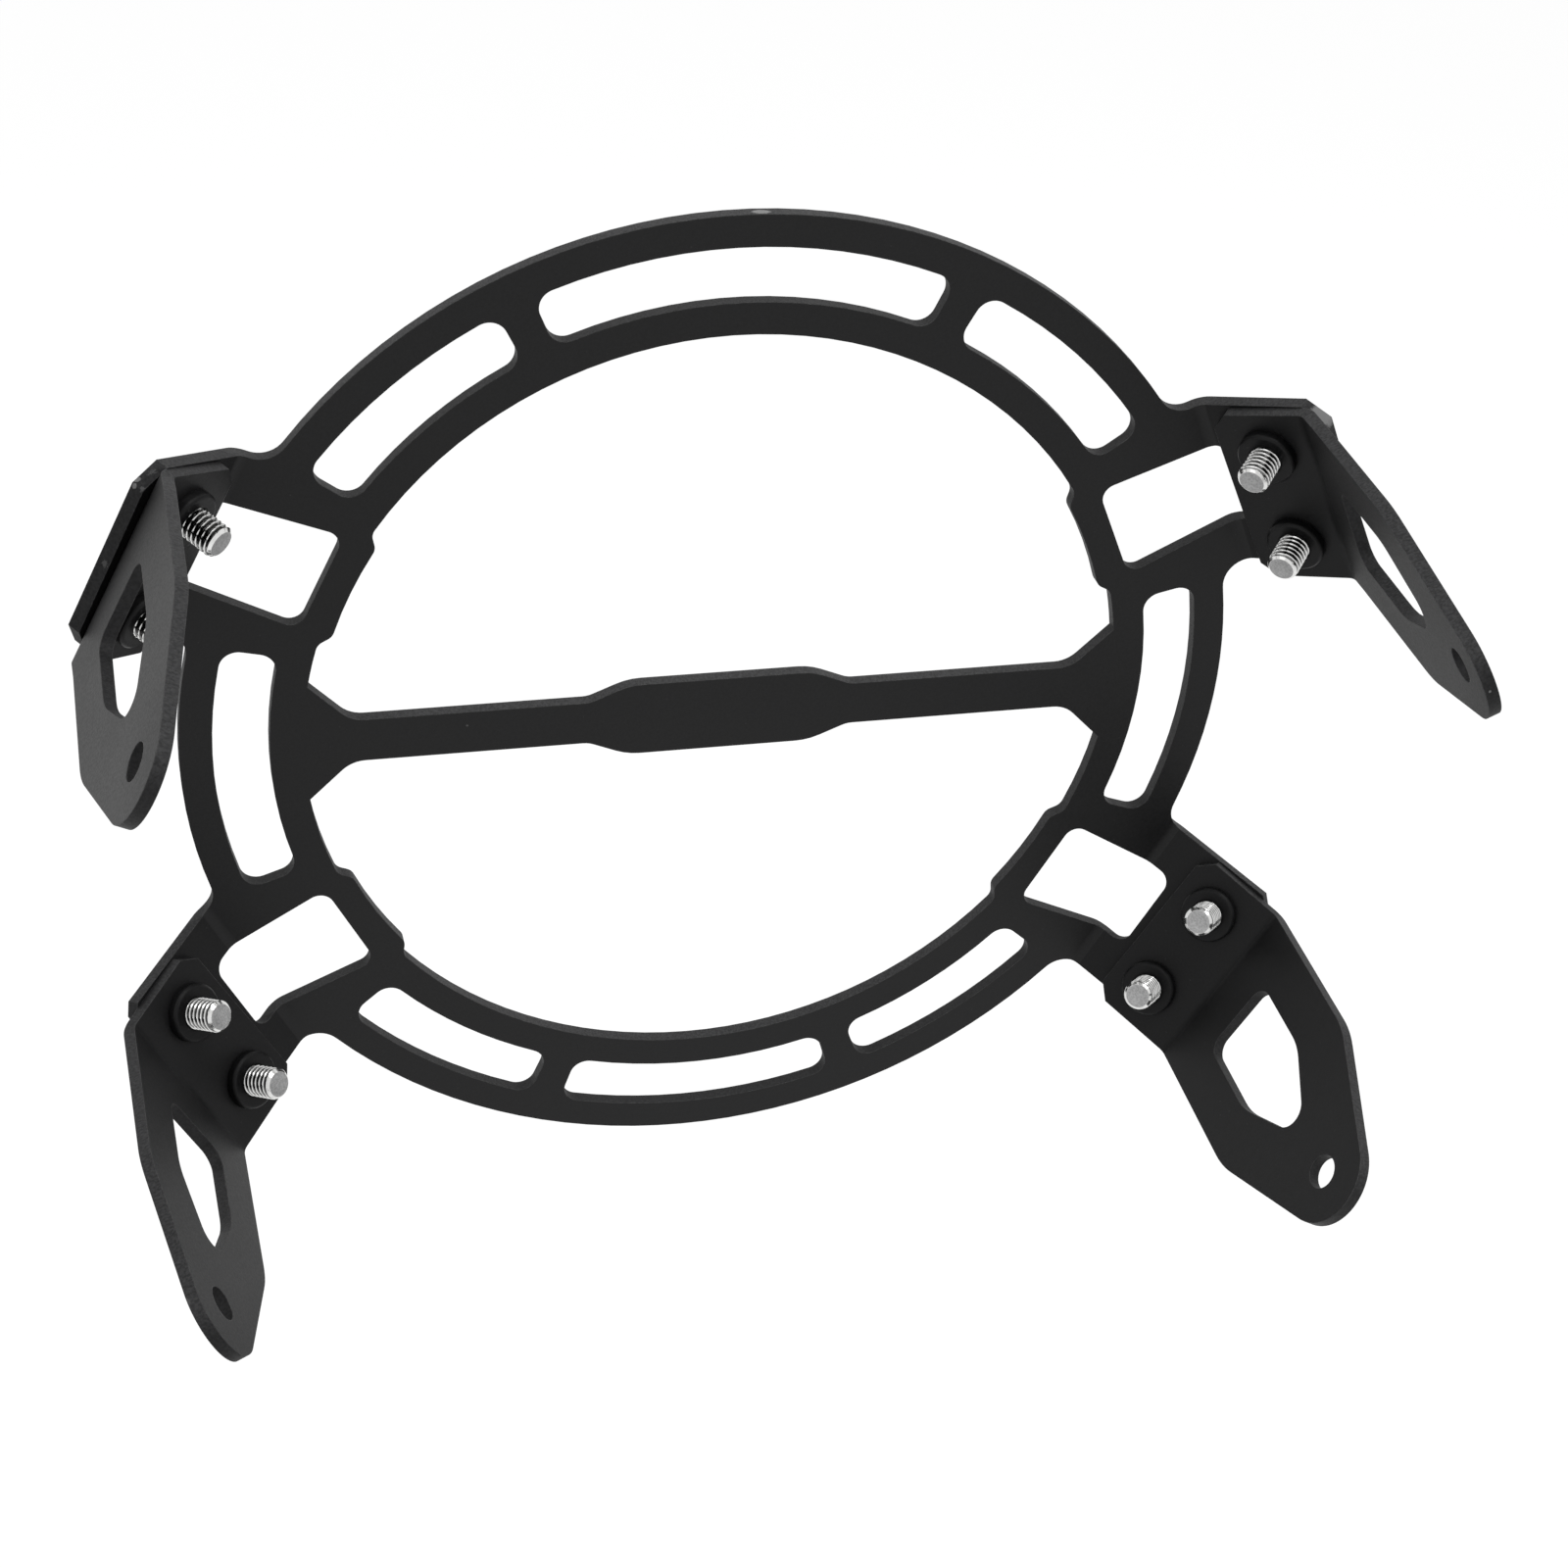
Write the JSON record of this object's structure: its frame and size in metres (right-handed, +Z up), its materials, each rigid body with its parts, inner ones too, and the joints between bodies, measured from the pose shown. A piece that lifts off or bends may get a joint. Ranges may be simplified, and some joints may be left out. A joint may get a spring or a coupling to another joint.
{
  "type": "motorcycle headlight guard",
  "caption": "Open black ring guard with a crossbar and eight curved slots, held by bent sheet brackets with windowed legs bolted to its sloping ears.",
  "frame": {"origin": "middle of the front face of the crossbar's pad, which is the ring's centre", "axes": "X across the guard, +X on the rider's left; +Z up; -Y forward to the road, so the brackets' legs point to +Y"},
  "size_m": [0.2362, 0.0889, 0.2],
  "materials": {
    "powder_coat": "fine satin-matt black powder coat",
    "screw_steel": "bright zinc or stainless, machined",
    "nut_black": "satin black"
  },
  "bodies": {
    "root": {"guard_plate": "powder_coat", "lower_left_bottom_clinch_nut": "nut_black", "lower_left_bottom_screw": "screw_steel", "lower_left_bracket": "powder_coat", "lower_left_top_clinch_nut": "nut_black", "lower_left_top_screw": "screw_steel", "lower_right_bottom_clinch_nut": "nut_black", "lower_right_bottom_screw": "screw_steel", "lower_right_bracket": "powder_coat", "lower_right_top_clinch_nut": "nut_black", "lower_right_top_screw": "screw_steel", "upper_left_bottom_clinch_nut": "nut_black", "upper_left_bottom_screw": "screw_steel", "upper_left_bracket": "powder_coat", "upper_left_top_clinch_nut": "nut_black", "upper_left_top_screw": "screw_steel", "upper_right_bottom_clinch_nut": "nut_black", "upper_right_bottom_screw": "screw_steel", "upper_right_bracket": "powder_coat", "upper_right_top_clinch_nut": "nut_black", "upper_right_top_screw": "screw_steel"}
  },
  "joints": []
}
